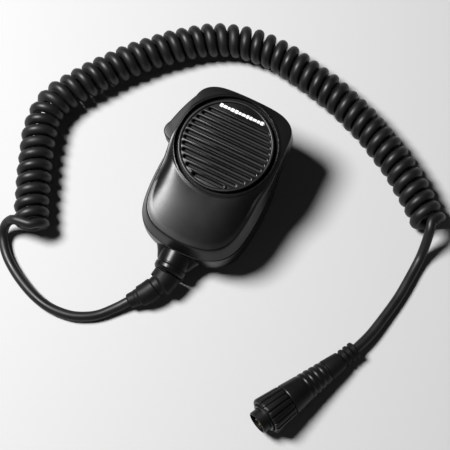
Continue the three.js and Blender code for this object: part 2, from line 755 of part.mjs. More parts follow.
const neckMouth = mic.localToWorld(new THREE.Vector3(0, neckEndY - 2 * gap, neckHeight));
const neckAhead = mic.localToWorld(new THREE.Vector3(0, neckEndY - 4, neckHeight));
const micCurve = through([neckMouth, neckAhead, ...micRoute]);
const curlCurve = through(curlRoute);
const plugEntry = plug.localToWorld(new THREE.Vector3(0, 0, 0));
const plugCurve = through([...plugRoute, plugEntry]);

const handMicrophone = new THREE.Group();
handMicrophone.add(
  mic,
  plug,
  piece('mic_boot', micBoot(micCurve), bootRubber),
  piece('cord_lead_mic',
    tube(stretch(micCurve, bootLength + gap, micCurve.getLength(), 40), cordRadius, 8, 40),
    cordJacket),
  piece('cord_curl', tube(curlCurve, curlRadius, 12, 48), cordJacket),
  piece('cord_lead_plug', tube(plugCurve, cordRadius, 8, 28), cordJacket),
);

export default handMicrophone;
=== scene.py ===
"""Looks of a hand microphone with a push-to-talk lever, a curly cord and a round screw-on plug.

Shapes are made in millimetres, in the frame of the part that they belong to, and every
finished mesh is turned into metres in the row frame by that part's placing matrix.
"""
import math

import bmesh
import bpy
from mathutils import Matrix, Vector


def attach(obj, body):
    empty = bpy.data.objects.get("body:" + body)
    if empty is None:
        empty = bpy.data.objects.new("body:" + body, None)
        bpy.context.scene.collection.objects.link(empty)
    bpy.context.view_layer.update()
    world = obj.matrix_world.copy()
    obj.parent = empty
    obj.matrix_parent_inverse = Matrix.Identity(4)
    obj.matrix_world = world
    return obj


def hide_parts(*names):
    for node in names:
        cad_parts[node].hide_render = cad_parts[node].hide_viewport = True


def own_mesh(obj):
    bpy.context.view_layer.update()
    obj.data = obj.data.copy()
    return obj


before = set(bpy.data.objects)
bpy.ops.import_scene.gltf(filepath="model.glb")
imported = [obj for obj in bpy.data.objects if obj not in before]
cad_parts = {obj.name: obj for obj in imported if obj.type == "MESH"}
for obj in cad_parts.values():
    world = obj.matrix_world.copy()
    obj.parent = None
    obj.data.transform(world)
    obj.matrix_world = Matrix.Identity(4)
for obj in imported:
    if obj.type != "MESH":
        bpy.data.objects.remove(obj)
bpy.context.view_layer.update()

# ---- driving dimensions, in millimetres ----------------------------------------------------
MM = 0.001
GAP = 0.3
WALL = 2.0
BODY_DEPTH = 34.0
BODY_HALF_WIDTH = 29.9
BODY_CENTRE_X = 0.8
BODY_TOP = 29.0
BODY_BOTTOM = -57.6
BODY_MIDDLE = (BODY_TOP + BODY_BOTTOM) / 2
BODY_HALF_LENGTH = (BODY_TOP - BODY_BOTTOM) / 2
SEAM_HEIGHT = 21.0
GRILLE_RADIUS = 24.1
WELL_RADIUS = 25.9
SEAT_HEIGHT = BODY_DEPTH - 2.4
FACE_CROWN = 3.1  # how far the face falls from its middle to its edge in the palm
GRILLE_SIDE_CROWN = 0.25  # and beside the grille
CROWN_POWER = 1.7
RING_SPACING_POWER = 1.7
GRILLE_DOME = 0.9
BACK_CLEARANCE = 0.2  # keeps the rear shell's lower edge off the table
HOLE_RADIUS = 22.4
SLOT_COUNT = 12
SLOT_PITCH = 3.08
SLOT_WIDTH = 1.3
FIRST_SLOT_Y = 13.9
SLOT_FIELD_RADIUS = 21.7
PIVOT = (-23.4, 20.4)
LEVER_LOW = 14.7
LEVER_HIGH = 25.3
LEVER_INNER_X = -25
SWITCH_FACE_X = -20.5
STUD_Y = 6.0
STUD_HEIGHT = 5.5
NECK_END_Y = -67.5
NECK_HEIGHT = 11.0
CORD_RADIUS = 2.55
COIL_JACKET_RADIUS = 2.9  # the jacket is a little fatter where it is coiled
CURL_RADIUS = 9.3
COIL_PITCH = 6.65
TABLE_LIFT = 0.1
CORD_HEIGHT = CORD_RADIUS + TABLE_LIFT
CURL_HEIGHT = CURL_RADIUS + TABLE_LIFT
BOOT_LENGTH = 24.5
SHELL_SCREWS = [(-16.6, 19.6), (16.6, 19.6), (-18, -43), (18, -43)]
BOARD_SCREWS = [(-11, 10), (11, 10), (11, -30)]
CLAMP_SCREWS = [(-6, -44.5), (6, -44.5)]

# ---- placing matrices: part frame in millimetres to row frame in metres ---------------------
MIC_TILT = math.atan(STUD_HEIGHT / 51.2)
STUD_EDGE_Y = 0.5  # the stud's lowest edge, which touches the table
MIC_LIFT = STUD_HEIGHT * math.cos(MIC_TILT) - STUD_EDGE_Y * math.sin(MIC_TILT)
TO_METRES = Matrix.Scale(MM, 4)
MIC = TO_METRES @ Matrix.Translation((2, 32.9, MIC_LIFT)) @ Matrix.Rotation(MIC_TILT, 4, "X")

PLUG_HEADING = math.radians(-115.4)
PLUG_TILT = math.radians(5.4)
PLUG_DIRECTION = Vector((
    math.cos(PLUG_HEADING) * math.cos(PLUG_TILT),
    math.sin(PLUG_HEADING) * math.cos(PLUG_TILT),
    math.sin(PLUG_TILT),
))
PLUG_TURN = Vector((0, 0, 1)).rotation_difference(PLUG_DIRECTION).to_matrix().to_4x4()
PLUG_PLACE = Vector((103, -26.45, 4.5))
PLUG = TO_METRES @ Matrix.Translation(PLUG_PLACE) @ PLUG_TURN


# ---- camera --------------------------------------------------------------------------------
CAMERA_LENS = 96.06
CAMERA_AZIMUTH = 27.04
CAMERA_ELEVATION = 70.21
CAMERA_PLACE = (0.1107, -0.1848, 0.5891)


def make_camera():
    camera = bpy.data.objects.new("camera", bpy.data.cameras.new("camera"))
    camera.data.lens = CAMERA_LENS
    camera.data.sensor_width = 36
    azimuth = math.radians(CAMERA_AZIMUTH)
    elevation = math.radians(CAMERA_ELEVATION)
    away = Vector((
        math.sin(azimuth) * math.cos(elevation),
        -math.cos(azimuth) * math.cos(elevation),
        math.sin(elevation),
    ))
    camera.location = CAMERA_PLACE
    camera.rotation_euler = away.to_track_quat("Z", "Y").to_euler()
    bpy.context.scene.collection.objects.link(camera)
    bpy.context.scene.camera = camera


make_camera()


# ---- helpers: curves and profiles ----------------------------------------------------------
def smooth_step(low, high, value):
    share = min(max((value - low) / (high - low), 0.0), 1.0)
    return share * share * (3 - 2 * share)


def mix(a, b, share):
    return a + (b - a) * share


def smooth_path(points, steps):
    """A Catmull-Rom curve through the points, with the given number of steps per span."""
    knots = [Vector(p) for p in points]
    knots = [2 * knots[0] - knots[1]] + knots + [2 * knots[-1] - knots[-2]]
    path = []
    for a, b, c, d in zip(knots, knots[1:], knots[2:], knots[3:]):
        for i in range(steps):
            t = i / steps
            path.append(0.5 * (2 * b + (c - a) * t + (2 * a - 5 * b + 4 * c - d) * t * t
                               + (3 * b - a - 3 * c + d) * t ** 3))
    path.append(knots[-2])
    return path


def along_path(path):
    """Arc length at each point of a path."""
    lengths = [0.0]
    for a, b in zip(path, path[1:]):
        lengths.append(lengths[-1] + (b - a).length)
    return lengths


def place_at(path, lengths, distance):
    """The point of a path, and its direction there, a distance along it."""
    i = 1
    while i < len(path) - 1 and lengths[i] < distance:
        i += 1
    span = lengths[i] - lengths[i - 1]
    share = (distance - lengths[i - 1]) / span
    before = path[max(i - 2, 0)]
    after = path[min(i + 1, len(path) - 1)]
    return path[i - 1].lerp(path[i], share), (after - before).normalized()


def rounded(points, radius, steps=4):
    """A profile with each of its inner corners turned into a small curve."""
    corners = [Vector(p) for p in points]
    profile = [corners[0]]
    for before, corner, after in zip(corners, corners[1:], corners[2:]):
        run_in = min(radius, (corner - before).length * 0.45)
        run_out = min(radius, (after - corner).length * 0.45)
        start = corner + (before - corner).normalized() * run_in
        end = corner + (after - corner).normalized() * run_out
        for i in range(steps + 1):
            t = i / steps
            profile.append(start * (1 - t) ** 2 + corner * (2 * t * (1 - t)) + end * t * t)
    profile.append(corners[-1])
    return profile


# ---- helpers: meshes -----------------------------------------------------------------------
def ring_faces(rings, count, closed):
    """Faces between rings of count points each; closed joins the last ring to the first."""
    faces = []
    pairs = len(rings) if closed else len(rings) - 1
    for k in range(pairs):
        low = rings[k]
        high = rings[(k + 1) % len(rings)]
        for i in range(count):
            j = (i + 1) % count
            if low[0] == low[1]:
                faces.append((low[0], high[j], high[i]))
            elif high[0] == high[1]:
                faces.append((low[i], low[j], high[0]))
            else:
                faces.append((low[i], low[j], high[j], high[i]))
    return faces


def loft(sections, closed=False, capped=False):
    """A mesh from sections with the same number of points each."""
    count = len(sections[0])
    points = []
    rings = []
    for section in sections:
        first = len(points)
        if all((p - section[0]).length < 1e-6 for p in section):
            points.append(section[0])
            rings.append([first] * count)
        else:
            points.extend(section)
            rings.append(list(range(first, first + count)))
    faces = ring_faces(rings, count, closed)
    if capped:
        faces.append(tuple(reversed(rings[0])))
        faces.append(tuple(rings[-1]))
    return points, faces


def revolve(profile, segments=64):
    """A solid of revolution about Z from (radius, height) points."""
    closed = (Vector(profile[0]) - Vector(profile[-1])).length < 1e-6
    outline = profile[:-1] if closed else profile
    sections = []
    for radius, height in outline:
        radius = max(radius, 0.0)
        sections.append([
            Vector((radius * math.cos(2 * math.pi * i / segments),
                    radius * math.sin(2 * math.pi * i / segments), height))
            for i in range(segments)
        ])
    return loft(sections, closed=closed)


def sweep(path, radii, sides=32):
    """A round solid along a path, with a radius for each point of the path."""
    sections = []
    side = Vector((0, 0, 1)).cross(path[1] - path[0]).normalized()
    for k, point in enumerate(path):
        before = path[max(k - 1, 0)]
        after = path[min(k + 1, len(path) - 1)]
        direction = (after - before).normalized()
        side = (side - direction * side.dot(direction)).normalized()
        across = direction.cross(side)
        sections.append([
            point + (side * math.cos(2 * math.pi * i / sides)
                     + across * math.sin(2 * math.pi * i / sides)) * radii[k]
            for i in range(sides)
        ])
    return loft(sections, capped=True)


def block(low, high):
    corners = [Vector((x, y, z)) for z in (low[2], high[2]) for x, y in (
        (low[0], low[1]), (high[0], low[1]), (high[0], high[1]), (low[0], high[1]))]
    faces = [(3, 2, 1, 0), (4, 5, 6, 7), (0, 1, 5, 4), (1, 2, 6, 5), (2, 3, 7, 6), (3, 0, 4, 7)]
    return corners, faces


def post(radius, low, high, x=0.0, y=0.0, segments=48):
    points, faces = revolve([(0, low), (radius, low), (radius, high), (0, high)], segments)
    return [p + Vector((x, y, 0)) for p in points], faces


def moved(shape, matrix):
    points, faces = shape
    return [matrix @ p for p in points], faces


def joined(*shapes):
    points = []
    faces = []
    for more_points, more_faces in shapes:
        first = len(points)
        points.extend(more_points)
        faces.extend(tuple(first + i for i in face) for face in more_faces)
    return points, faces


def new_object(name, shape, place):
    """A Blender object of a shape, in metres, with its normals outward."""
    points, faces = shape
    mesh = bpy.data.meshes.new(name)
    mesh.from_pydata([place @ p for p in points], [], faces)
    mesh.update()
    work = bmesh.new()
    work.from_mesh(mesh)
    bmesh.ops.recalc_face_normals(work, faces=work.faces)
    work.to_mesh(mesh)
    work.free()
    thing = bpy.data.objects.new(name, mesh)
    bpy.context.scene.collection.objects.link(thing)
    return thing


def cut(thing, shape, place, operation="DIFFERENCE"):
    """Cuts a shape out of an object, or joins it on, and keeps only the result."""
    tool = new_object("tool", shape, place)
    modifier = thing.modifiers.new("boolean", "BOOLEAN")
    modifier.operation = operation
    modifier.solver = "EXACT"
    modifier.object = tool
    bpy.context.view_layer.update()
    result = bpy.data.meshes.new_from_object(
        thing.evaluated_get(bpy.context.evaluated_depsgraph_get()))
    thing.modifiers.clear()
    thing.data = result
    bpy.data.objects.remove(tool)


def shade(thing, degrees=35):
    thing.data.polygons.foreach_set("use_smooth", [True] * len(thing.data.polygons))
    thing.data.set_sharp_from_angle(angle=math.radians(degrees))


def settle(thing, material, slot, body, *nodes, degrees=35):
    """Gives a new piece its finish and its body, and lets it stand for its CAD nodes."""
    if thing.type == "MESH":
        shade(thing, degrees)
    thing.data.materials.clear()
    thing.data.materials.append(material)
    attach(thing, body)
    if nodes:
        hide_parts(*nodes)
    return thing


# ---- materials -----------------------------------------------------------------------------
def texture_noise(nodes, links, scale, detail, roughness=0.5):
    place = nodes.new("ShaderNodeTexCoord")
    noise = nodes.new("ShaderNodeTexNoise")
    noise.inputs["Scale"].default_value = scale
    noise.inputs["Detail"].default_value = detail
    noise.inputs["Roughness"].default_value = roughness
    links.new(place.outputs["Object"], noise.inputs["Vector"])
    return noise


def surface(name, colour, roughness, metallic=0.0, grain_size=0.35, grain=0.25, wear=0.08,
            tint=0.25, specular=0.5):
    """A moulded or metal surface: fine grain, uneven gloss and slightly uneven colour.

    grain_size is in millimetres. wear is how far the roughness wanders, tint how far the
    colour does.
    """
    material = bpy.data.materials.new(name)
    material.use_nodes = True
    nodes = material.node_tree.nodes
    links = material.node_tree.links
    shader = nodes["Principled BSDF"]
    shader.inputs["Metallic"].default_value = metallic
    shader.inputs["Specular IOR Level"].default_value = specular

    broad = texture_noise(nodes, links, 60, 4, 0.6)
    colours = nodes.new("ShaderNodeMix")
    colours.data_type = "RGBA"
    colours.inputs["A"].default_value = (*[c * (1 - tint) for c in colour], 1)
    colours.inputs["B"].default_value = (*[c * (1 + tint) for c in colour], 1)
    links.new(broad.outputs["Fac"], colours.inputs["Factor"])
    links.new(colours.outputs["Result"], shader.inputs["Base Color"])

    gloss = nodes.new("ShaderNodeMapRange")
    gloss.inputs["From Min"].default_value = 0.3
    gloss.inputs["From Max"].default_value = 0.7
    gloss.inputs["To Min"].default_value = roughness - wear
    gloss.inputs["To Max"].default_value = roughness + wear
    links.new(broad.outputs["Fac"], gloss.inputs["Value"])
    links.new(gloss.outputs["Result"], shader.inputs["Roughness"])

    fine = texture_noise(nodes, links, 1000 / grain_size, 2)
    bump = nodes.new("ShaderNodeBump")
    bump.inputs["Strength"].default_value = grain
    bump.inputs["Distance"].default_value = grain_size * MM * 0.3
    links.new(fine.outputs["Fac"], bump.inputs["Height"])
    links.new(bump.outputs["Normal"], shader.inputs["Normal"])
    return material


def woven_cloth():
    """Acoustic cloth: fine crossed threads."""
    material = surface("woven_cloth", (0.006, 0.006, 0.006), 0.9, tint=0.3)
    nodes = material.node_tree.nodes
    links = material.node_tree.links
    place = nodes.new("ShaderNodeTexCoord")
    total = nodes.new("ShaderNodeMath")
    total.operation = "ADD"
    for i, direction in enumerate(("X", "Y")):
        wave = nodes.new("ShaderNodeTexWave")
        wave.bands_direction = direction
        wave.inputs["Scale"].default_value = 600
        links.new(place.outputs["Object"], wave.inputs["Vector"])
        links.new(wave.outputs["Fac"], total.inputs[i])
    bump = nodes["Bump"]
    links.new(total.outputs["Value"], bump.inputs["Height"])
    bump.inputs["Strength"].default_value = 0.6
    return material


shell_plastic = surface("shell_plastic", (0.003, 0.003, 0.0033), 0.29, grain_size=0.4, grain=0.12,
                        wear=0.03, specular=0.16)
lever_plastic = surface("lever_plastic", (0.005, 0.005, 0.0055), 0.4, grain_size=0.25, grain=0.2,
                        specular=0.2)
grille_plastic = surface("grille_plastic", (0.003, 0.003, 0.0035), 0.34, grain_size=0.25,
                         grain=0.1, specular=0.25)
badge_metal = surface("badge_metal", (0.5, 0.5, 0.51), 0.5, 0.3, grain_size=0.1, grain=0.1,
                      tint=0.04)
cord_jacket = surface("cord_jacket", (0.005, 0.005, 0.0055), 0.45, grain_size=0.5, grain=0.1,
                      wear=0.1, specular=0.25)
boot_rubber = surface("boot_rubber", (0.003, 0.003, 0.0033), 0.5, grain_size=0.3, grain=0.25,
                      specular=0.12)
plug_plastic = surface("plug_plastic", (0.003, 0.003, 0.0033), 0.36, grain_size=0.3, grain=0.15,
                       specular=0.18)
plated_steel = surface("plated_steel", (0.6, 0.61, 0.62), 0.3, 1.0, grain_size=0.15, grain=0.12,
                       tint=0.08)
black_steel = surface("black_steel", (0.05, 0.05, 0.052), 0.35, 1.0, grain_size=0.15, grain=0.12,
                      tint=0.1)
gold_brass = surface("gold_brass", (0.78, 0.6, 0.28), 0.28, 1.0, grain_size=0.1, grain=0.08,
                     tint=0.08)
board_laminate = surface("board_laminate", (0.03, 0.16, 0.08), 0.45, grain_size=0.4, grain=0.2)
dark_moulding = surface("dark_moulding", (0.03, 0.03, 0.034), 0.45, grain_size=0.3, grain=0.2)
natural_nylon = surface("natural_nylon", (0.8, 0.78, 0.7), 0.45, grain_size=0.3, grain=0.15,
                        tint=0.05)
acoustic_cloth = woven_cloth()

# ---- cord ----------------------------------------------------------------------------------
NECK_MOUTH = [MIC @ Vector((0, y, NECK_HEIGHT)) / MM
              for y in (NECK_END_Y - 2 * GAP, NECK_END_Y - 4)]
BOOT_ROUTE = [(0, -43, 8.3), (-3.2, -48.8, 6.9), (-7.3, -53.6, 5.4), (-10.2, -56.8, 4.5)]
MIC_ROUTE = [
    (-13.6, -61.2, 3.3), (-19.6, -68.2, CORD_HEIGHT), (-25.6, -72.6, CORD_HEIGHT),
    (-33.4, -75.8, CORD_HEIGHT), (-44, -76.8, CORD_HEIGHT), (-54, -75, CORD_HEIGHT),
    (-64.4, -70.9, CORD_HEIGHT), (-74, -65.4, CORD_HEIGHT), (-80.4, -60, 2.8),
    (-84.2, -54.8, 4.2), (-85, -50.4, 7.6), (-83, -47.6, 11.6), (-79.2, -46.6, 14.8),
]
CURL_ROUTE = [(x, y, CURL_HEIGHT) for x, y in (
    (-70, -47.4), (-76.2, -37.9), (-82.6, -25.1), (-89.2, -11.1), (-95.2, 3.9), (-97.4, 15.4),
    (-95.4, 25.2), (-90.6, 34.5), (-84.8, 44.1), (-78.8, 53.1), (-72.6, 61.3), (-65.8, 69.3),
    (-59, 76.4), (-51.6, 83.3), (-44.2, 89.3), (-36.6, 94), (-27.6, 97.9), (-16.4, 100.3),
    (-4.4, 100.7), (6.6, 99.4), (19.6, 96.6), (32.6, 93.6), (45.6, 89.2), (58.6, 83.9),
    (71.6, 77.1), (84, 69.5), (96, 60.5), (109.7, 48.9),
)]
PLUG_ROUTE = [
    (110.6, 44.4, 15), (111.4, 40.8, 11), (112, 36.6, 7), (112.3, 31.6, 3.8),
    (112.1, 25, CORD_HEIGHT), (111.7, 17, CORD_HEIGHT), (110.9, 7.4, CORD_HEIGHT),
    (108.9, -4.4, 3), (106.4, -16.4, 3.7),
]
PLUG_ENTRY = PLUG_PLACE + PLUG_DIRECTION * 2


def coil_points():
    """The coiled part: a right-handed helix that starts and ends at its top."""
    middle = smooth_path(CURL_ROUTE, 12)
    lengths = along_path(middle)
    start = 2.4
    span = lengths[-1] - start
    turns = round(span / COIL_PITCH)
    per_turn = 18
    points = []
    for i in range(turns * per_turn + 1):
        distance = start + span * i / (turns * per_turn)
        centre, direction = place_at(middle, lengths, distance)
        right = direction.cross(Vector((0, 0, 1)))
        angle = 2 * math.pi * i / per_turn
        uneven = 0.12 * math.sin(0.9 * angle / math.pi) - 0.1
        reach = CURL_RADIUS - COIL_JACKET_RADIUS + uneven
        up = Vector((0, 0, reach))
        points.append(centre + up * math.cos(angle) + right * reach * math.sin(angle))
    return points


def make_cord():
    coil = coil_points()
    start = smooth_path([*NECK_MOUTH, *BOOT_ROUTE, *MIC_ROUTE, coil[0], coil[2]], 8)[:-8]
    end = smooth_path([coil[-3], coil[-1], *PLUG_ROUTE, PLUG_PLACE, PLUG_ENTRY], 8)[8:]
    points = start[:-1] + coil[:-1] + end
    curve = bpy.data.curves.new("cord", "CURVE")
    curve.dimensions = "3D"
    curve.bevel_depth = CORD_RADIUS * MM
    curve.bevel_resolution = 4
    curve.use_fill_caps = True
    spline = curve.splines.new("POLY")
    spline.points.add(len(points) - 1)
    fatter = COIL_JACKET_RADIUS / CORD_RADIUS
    for i, (point, place) in enumerate(zip(spline.points, points)):
        point.co = (*(place * MM), 1)
        from_ends = min(i - len(start), len(points) - len(end) - i)
        point.radius = mix(1, fatter, smooth_step(-4, 12, from_ends))
    spline.use_smooth = True
    cord = bpy.data.objects.new("cord", curve)
    bpy.context.scene.collection.objects.link(cord)
    settle(cord, cord_jacket, "cord", "case", "cord_lead_mic", "cord_curl", "cord_lead_plug")
    return cord, along_path(points)[-1]


cord, cord_length = make_cord()
print("cord length in millimetres:", round(cord_length, 1))


# ---- shells --------------------------------------------------------------------------------
BODY_EDGE = [
    (9, BODY_TOP, 15, 28.6, 18.5, 27.6),
    (23.7, 26, 26.9, 23.3, 27.6, 18),
    (28.2, 12, 28.8, 4, 29.3, -6),
    (BODY_HALF_WIDTH, -18, BODY_HALF_WIDTH + 0.2, -28, 28.6, -38),
    (27.5, -46, 24.5, -51.5, 18, -54.5),
    (13, -56.8, 6, BODY_BOTTOM, 0, BODY_BOTTOM),
]


def body_outline(steps=20):
    """The body's widest outline from its top, right half first, then its mirror image."""
    right = []
    start = Vector((0, BODY_TOP))
    for ax, ay, bx, by, ex, ey in BODY_EDGE:
        a, b, end = Vector((ax, ay)), Vector((bx, by)), Vector((ex, ey))
        for i in range(steps):
            t = i / steps
            u = 1 - t
            right.append(start * u ** 3 + a * (3 * t * u * u) + b * (3 * t * t * u) + end * t ** 3)
        start = end
    left = [Vector((-p.x, p.y)) for p in reversed(right[1:])]
    return right + [start] + left


OUTLINE = body_outline()


def round_over(place, run, sharpness):
    return run * (1 - (1 - place ** sharpness) ** (1 / sharpness))


def front_inset(place, y):
    """How far the front shell has drawn in, for a place 0 (seam) to 1 (face)."""
    grille_share = smooth_step(-22, -4, y)
    lower = 0.9 + 2.6 * place + round_over(place, 1.9, 9)
    upper = 0.5 + 0.6 * place + round_over(place, 1.3, 9)
    return mix(lower, upper, grille_share)


def rear_inset(place, y):
    """How far the rear shell has drawn in, for a place 0 (seam) to 1 (back)."""
    grille_share = smooth_step(-10, 8, y)
    lip = 0.6 * (1 - place) ** 3
    lower = lip + round_over(place, 7, 4)
    upper = lip + 2.4 * place + round_over(place, 8, 2.2)
    return mix(lower, upper, grille_share)


def drawn_in(point, inset):
    return Vector((
        BODY_CENTRE_X + point.x * (1 - inset / BODY_HALF_WIDTH),
        BODY_MIDDLE + (point.y - BODY_MIDDLE) * (1 - inset / BODY_HALF_LENGTH),
    ))


def curved_places(steps, sharpness):
    """Places from 0 to 1, close together where a rounded edge turns fastest."""
    turned = [math.sin(math.pi / 2 * i / steps) ** (2 / sharpness) for i in range(1, steps + 1)]
    first = turned[0]
    return [0.0, first * 0.15, first * 0.5] + turned


def face_drop(y):
    """How far the face's edge lies below its middle: more in the palm than at the grille."""
    return mix(FACE_CROWN, GRILLE_SIDE_CROWN, smooth_step(-26, -2, y))


def front_shell():
    """Outer wall, crowned face, grille well, underside and inner wall as one closed skin."""
    sections = []
    low = SEAM_HEIGHT + GAP / 2
    drops = [face_drop(p.y) for p in OUTLINE]
    for place in curved_places(16, 9):
        section = []
        for p, drop in zip(OUTLINE, drops):
            edge = drawn_in(p, front_inset(place, p.y))
            section.append(Vector((edge.x, edge.y, mix(low, BODY_DEPTH - drop, place))))
        sections.append(section)
    edges = sections[-1]
    steps = 22
    for k in range(1, steps + 1):
        share = (1 - k / steps) ** RING_SPACING_POWER
        section = []
        for edge, drop in zip(edges, drops):
            reach = Vector((edge.x, edge.y)).length
            radius = WELL_RADIUS + (reach - WELL_RADIUS) * share
            distance = radius - WELL_RADIUS
            height = BODY_DEPTH - drop * share ** CROWN_POWER
            lip = 1 - smooth_step(0.5, 1.6, distance)
            height += 0.3 * lip * smooth_step(0, 2.5, reach - WELL_RADIUS)
            height -= 0.3 * (1 - smooth_step(0, 0.35, distance))
            section.append(Vector((edge.x / reach * radius, edge.y / reach * radius, height)))
        sections.append(section)
    inner_rings = [
        (WELL_RADIUS, SEAT_HEIGHT + 0.2), (WELL_RADIUS - 0.2, SEAT_HEIGHT),
        (HOLE_RADIUS, SEAT_HEIGHT), (HOLE_RADIUS, SEAT_HEIGHT - 1.8),
        (WELL_RADIUS + 0.2, SEAT_HEIGHT - 1.8),
    ]
    for radius, height in inner_rings:
        section = []
        for edge in edges:
            reach = Vector((edge.x, edge.y)).length
            section.append(Vector((edge.x / reach * radius, edge.y / reach * radius, height)))
        sections.append(section)
    for place in reversed(curved_places(8, 4)):
        section = []
        for p in OUTLINE:
            edge = drawn_in(p, front_inset(place, p.y) + WALL)
            reach = max(edge.length, WELL_RADIUS + 0.3)
            edge = edge.normalized() * reach if reach > edge.length else edge
            top = SEAT_HEIGHT - 1.7
            section.append(Vector((edge.x, edge.y, mix(low, top, place))))
        sections.append(section)
    shell = new_object("front_shell_skin", loft(sections, closed=True), MIC)
    cut(shell, lever_window(), MIC)
    return settle(shell, shell_plastic, "shell", "case", "front_shell", degrees=30)


def lever_window():
    return block((-40, -10.4, LEVER_LOW - 0.6), (-20.4, 24.4, LEVER_HIGH + 0.6))


def neck_shape():
    """Round cord exit that flares into the bottom of the body, with a ring near its end."""
    barrel = revolve(rounded([
        (0, 0), (9, 0), (8.8, 4), (8.3, 8), (8.1, 8.6), (8.5, 9.2), (8.4, 11.2), (7.9, 11.9),
        (7.4, 12.6), (0, 12.6)], 0.5), 96)
    flare = revolve(rounded([(0, 0), (14, 0), (11.6, 3), (9.8, 6), (8.6, 9), (0, 9)], 2.5, 6), 96)
    turn = Matrix.Rotation(math.pi / 2, 4, "X")
    flat = Matrix.Diagonal((1, 1, 0.6, 1))
    barrel = moved(barrel, Matrix.Translation((0, NECK_END_Y + 12.6, NECK_HEIGHT)) @ turn)
    flare = moved(flare, Matrix.Translation((0, -54, NECK_HEIGHT)) @ flat @ turn)
    return barrel, flare


def rear_shell():
    """Outer wall, back and inner wall as one closed skin, with screw posts and the cord's neck."""
    sections = []
    high = SEAM_HEIGHT - GAP / 2
    back_centre = Vector((BODY_CENTRE_X, BODY_MIDDLE, BACK_CLEARANCE))
    for place in curved_places(18, 3):
        section = []
        for p in OUTLINE:
            edge = drawn_in(p, rear_inset(place, p.y))
            section.append(Vector((edge.x, edge.y, mix(high, BACK_CLEARANCE, place))))
        sections.append(section)
    back_edge = sections[-1]
    for share in (0.97, 0.85, 0.6, 0.3, 0.0):
        sections.append([back_centre.lerp(p, share) for p in back_edge])
    inner_centre = Vector((BODY_CENTRE_X, BODY_MIDDLE, WALL))
    inner = []
    for place in reversed(curved_places(8, 3)):
        section = []
        for p in OUTLINE:
            edge = drawn_in(p, rear_inset(place, p.y) + WALL)
            section.append(Vector((edge.x, edge.y, mix(high, WALL, place))))
        inner.append(section)
    for share in (0.0, 0.5):
        sections.append([inner_centre.lerp(p, share) for p in inner[0]])
    sections.extend(inner)
    shell = new_object("rear_shell_skin", loft(sections, closed=True), MIC)
    for x, y in SHELL_SCREWS:
        cut(shell, post(4, 1, SEAM_HEIGHT - 0.9, x, y), MIC, "UNION")
        cut(shell, post(3, -1, 5.6, x, y), MIC)
    for part in neck_shape():
        cut(shell, part, MIC, "UNION")
    along_neck = Matrix.Translation((0, -50, NECK_HEIGHT)) @ Matrix.Rotation(math.pi / 2, 4, "X")
    cut(shell, moved(post(4.5, 0, 18), along_neck), MIC)
    cut(shell, lever_window(), MIC)
    return settle(shell, shell_plastic, "shell", "case", "rear_shell", degrees=30)


front_shell()
rear_shell()


# ---- grille --------------------------------------------------------------------------------
def flat_curve(name, outlines, low, high, bevel, place, dome=0.0):
    """A plate between two heights with round edges, from closed outlines and holes in them.

    dome is how far its middle stands above its edge: two thirds of that is added in the
    middle, and one third is taken off at the edge.
    """
    middle_share = 2 / 3
    curve = bpy.data.curves.new(name, "CURVE")
    curve.dimensions = "2D"
    curve.fill_mode = "BOTH"
    curve.extrude = (high - low) / 2 - bevel
    curve.bevel_depth = bevel
    curve.bevel_resolution = 3
    curve.offset = -bevel
    for outline in outlines:
        spline = curve.splines.new("POLY")
        spline.points.add(len(outline) - 1)
        for point, (x, y) in zip(spline.points, outline):
            point.co = (x, y, 0, 1)
        spline.use_cyclic_u = True
    plate = bpy.data.objects.new(name, curve)
    mesh = bpy.data.meshes.new_from_object(plate)
    bpy.data.objects.remove(plate)
    for vertex in mesh.vertices:
        reach = Vector((vertex.co.x, vertex.co.y)).length
        vertex.co.z += dome * (middle_share - (reach / GRILLE_RADIUS) ** 2)
    mesh.transform(place @ Matrix.Translation((0, 0, (low + high) / 2)))
    work = bmesh.new()
    work.from_mesh(mesh)
    bmesh.ops.remove_doubles(work, verts=work.verts, dist=1e-6)
    work.to_mesh(mesh)
    work.free()
    thing = bpy.data.objects.new(name, mesh)
    bpy.context.scene.collection.objects.link(thing)
    return thing


def circle(radius, count, x=0.0, y=0.0):
    return [(x + radius * math.cos(2 * math.pi * i / count),
             y + radius * math.sin(2 * math.pi * i / count)) for i in range(count)]


def slot_outline(y):
    """A straight slot with round ends that stays inside the slot field."""
    half = math.sqrt(SLOT_FIELD_RADIUS ** 2 - y ** 2) - SLOT_WIDTH / 2
    steps = 10
    along = 14
    outline = []
    for side in (1, -1):
        for i in range(steps + 1):
            angle = -math.pi / 2 + math.pi * i / steps
            outline.append((side * (half + SLOT_WIDTH / 2 * math.cos(angle)),
                            y + side * SLOT_WIDTH / 2 * math.sin(angle)))
        for i in range(1, along):
            outline.append((side * mix(half, -half, i / along), y + side * SLOT_WIDTH / 2))
    return outline


